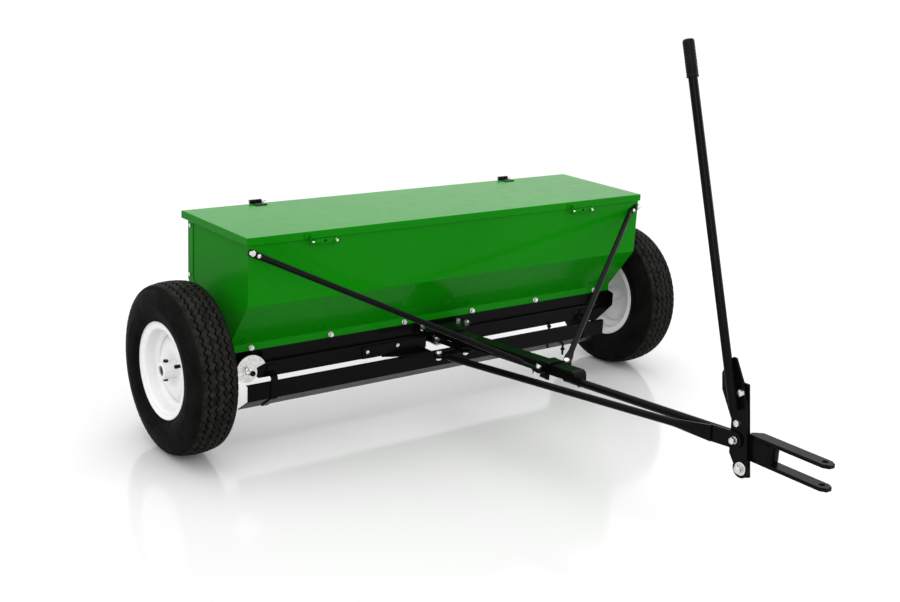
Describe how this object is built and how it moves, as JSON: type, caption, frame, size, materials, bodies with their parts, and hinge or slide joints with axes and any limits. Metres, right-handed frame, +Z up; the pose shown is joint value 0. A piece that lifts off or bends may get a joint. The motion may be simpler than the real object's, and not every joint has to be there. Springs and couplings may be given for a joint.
{
  "type": "tow-behind drop spreader",
  "caption": "Green steel hopper on two wheels with a tongue, hitch fork and lever; the axle turns a rotor over a sliding metering gate.",
  "frame": {"origin": "centre of the bounding box in plan, on the floor under the tyres", "axes": "+X along the axle from the drive wheel to the free wheel, -Y towards the hitch, +Z up"},
  "size_m": [1.5436, 1.525, 1.0543],
  "materials": {
    "green_paint": "gloss powder coat",
    "black_paint": "semi-gloss powder coat",
    "white_paint": "gloss enamel",
    "zinc": "bright zinc plate",
    "shaft_steel": "bare drawn steel",
    "dark_steel": "oiled black steel",
    "bearing_plastic": "moulded nylon",
    "tyre": "matte ribbed tyre rubber",
    "valve_rubber": "smooth rubber",
    "grip_vinyl": "dipped vinyl"
  },
  "bodies": {
    "chassis": {"front_panel": "green_paint", "rear_panel": "green_paint", "left_end_plate": "green_paint", "right_end_plate": "green_paint", "lid_hinge_brackets": "black_paint", "lid_hinge_pins": "zinc", "feed_pan": "black_paint", "gate_guides": "black_paint", "frame_rails": "black_paint", "left_bearing_bracket": "black_paint", "right_bearing_bracket": "black_paint", "axle_bearings": "bearing_plastic", "deflector_board": "black_paint", "deflector_hangers": "black_paint", "deflector_stay": "black_paint", "cam_bracket": "black_paint", "tongue_channel": "black_paint", "tongue_tube": "black_paint", "tongue_mount": "black_paint", "tongue_strap": "black_paint", "upper_fork_bar": "black_paint", "lower_fork_bar": "black_paint", "clevis_block": "black_paint", "lever_post": "black_paint", "crank_bracket": "black_paint", "left_strut": "black_paint", "right_strut": "black_paint", "linkage_guard": "black_paint", "strut_saddle": "black_paint", "strut_bolts": "zinc", "lip_bolts": "zinc", "panel_screws": "green_paint", "frame_bolts": "zinc"},
    "lid_body": {"lid": "green_paint", "lid_hinge_leaves": "black_paint", "latch_strikers": "green_paint"},
    "left_latch_body": {"left_latch": "green_paint"},
    "right_latch_body": {"right_latch": "green_paint"},
    "drive_wheel": {"left_tyre": "tyre", "left_rim": "white_paint", "left_hub": "white_paint", "left_valve_stem": "valve_rubber", "axle": "dark_steel", "rotor": "bearing_plastic", "drive_pin": "dark_steel", "axle_collars": "zinc"},
    "free_wheel": {"right_tyre": "tyre", "right_rim": "white_paint", "right_hub": "white_paint", "right_valve_stem": "valve_rubber"},
    "lever": {"lever_plate": "black_paint", "handle_tube": "black_paint", "hand_grip": "grip_vinyl", "lever_bolts": "zinc"},
    "rod": {"control_rod": "black_paint"},
    "crank": {"bell_crank": "black_paint", "crank_pins": "zinc"},
    "gate": {"slide_gate": "shaft_steel"},
    "cam": {"rate_cam": "zinc", "cam_knob": "zinc"}
  },
  "joints": [
    {"name": "lid_hinge", "type": "hinge", "parent": "chassis", "child": "lid_body", "pos_m": [0, 0.7275, 0.549], "axis": [-1, 0, 0], "range_deg": [0, 105]},
    {"name": "left_latch_slide", "type": "slide", "parent": "chassis", "child": "left_latch_body", "axis": [-1, 0, 0], "range_m": [0, 0.01]},
    {"name": "right_latch_slide", "type": "slide", "parent": "chassis", "child": "right_latch_body", "axis": [-1, 0, 0], "range_m": [0, 0.01]},
    {"name": "drive_wheel_spin", "type": "hinge", "parent": "chassis", "child": "drive_wheel", "pos_m": [0, 0.5555, 0.207], "axis": [1, 0, 0], "continuous": true},
    {"name": "free_wheel_spin", "type": "hinge", "parent": "chassis", "child": "free_wheel", "pos_m": [0, 0.5555, 0.207], "axis": [1, 0, 0], "continuous": true},
    {"name": "lever_swing", "type": "hinge", "parent": "chassis", "child": "lever", "pos_m": [-0.026, -0.5675, 0.216], "axis": [-1, 0, 0], "range_deg": [0, 25]},
    {"name": "rod_pivot", "type": "hinge", "parent": "lever", "child": "rod", "pos_m": [-0.03055, -0.5475, 0.272], "axis": [-1, 0, 0], "range_deg": [-27, 0]},
    {"name": "crank_turn", "type": "hinge", "parent": "chassis", "child": "crank", "pos_m": [0.006, 0.3775, 0.19], "axis": [0, 0, -1], "range_deg": [0, 13.2]},
    {"name": "gate_slide", "type": "slide", "parent": "chassis", "child": "gate", "axis": [1, 0, 0], "range_m": [0, 0.0247]},
    {"name": "cam_turn", "type": "hinge", "parent": "chassis", "child": "cam", "pos_m": [-0.573, 0.474, 0.199], "axis": [0, -1, 0], "range_deg": [0, 300]}
  ],
  "couplings": [
    {"joint": "rod_pivot", "follows": "lever_swing", "ratio": -1.0325},
    {"joint": "crank_turn", "follows": "lever_swing", "ratio": 0.52139},
    {"joint": "gate_slide", "follows": "lever_swing", "m_per_rad": 0.056184}
  ]
}
